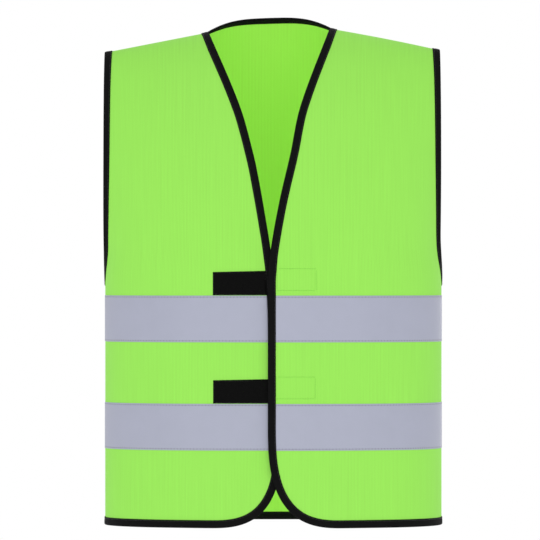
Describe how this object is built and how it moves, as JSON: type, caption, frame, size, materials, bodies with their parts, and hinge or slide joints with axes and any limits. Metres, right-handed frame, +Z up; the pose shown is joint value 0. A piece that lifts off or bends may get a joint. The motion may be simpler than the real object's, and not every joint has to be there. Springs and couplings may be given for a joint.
{
  "type": "high visibility vest",
  "caption": "Sleeveless knit safety vest with black bound edges, horizontal reflective bands and a V-necked front that closes with hook and loop strips.",
  "frame": {"origin": "on the middle of the body between the shoulder seams, at the height of their neck ends, where the vest hangs on its wearer", "axes": "+Z up, +X towards the wearer's left, +Y out of the back; the closed front faces -Y"},
  "size_m": [0.3688, 0.244, 0.5541],
  "materials": {
    "knit": "fine warp knit polyester, matt, fluorescent lime",
    "reflective_tape": "silver grey retroreflective tape, fine grain, low sheen",
    "binding": "folded ribbed polyester binding tape, black, matt",
    "hook_and_loop": "black hook and loop pile, matt",
    "label": "white satin ribbon, blank"
  },
  "bodies": {
    "back": {"back_panel": "knit", "back_neck_binding": "binding", "back_hem_binding": "binding", "left_armhole_binding_back": "binding", "right_armhole_binding_back": "binding", "upper_tape_back": "reflective_tape", "lower_tape_back": "reflective_tape", "care_label": "label"},
    "left_front": {"left_front_panel": "knit", "left_front_edge_binding": "binding", "left_armhole_binding_front": "binding", "upper_tape_left_front": "reflective_tape", "lower_tape_left_front": "reflective_tape", "upper_hook_strip": "hook_and_loop", "lower_hook_strip": "hook_and_loop"},
    "right_front": {"right_front_panel": "knit", "right_front_edge_binding": "binding", "right_armhole_binding_front": "binding", "upper_tape_right_front": "reflective_tape", "lower_tape_right_front": "reflective_tape", "upper_loop_strip": "hook_and_loop", "lower_loop_strip": "hook_and_loop"}
  },
  "joints": [
    {"name": "left_front_opens", "type": "hinge", "parent": "back", "child": "left_front", "pos_m": [0.1842, 0, -0.3], "axis": [0, 0, 1], "range_deg": [0, 90]},
    {"name": "right_front_opens", "type": "hinge", "parent": "back", "child": "right_front", "pos_m": [-0.1842, 0, -0.3], "axis": [0, 0, -1], "range_deg": [0, 67.5]}
  ],
  "couplings": [
    {"joint": "right_front_opens", "follows": "left_front_opens", "ratio": 0.75}
  ]
}
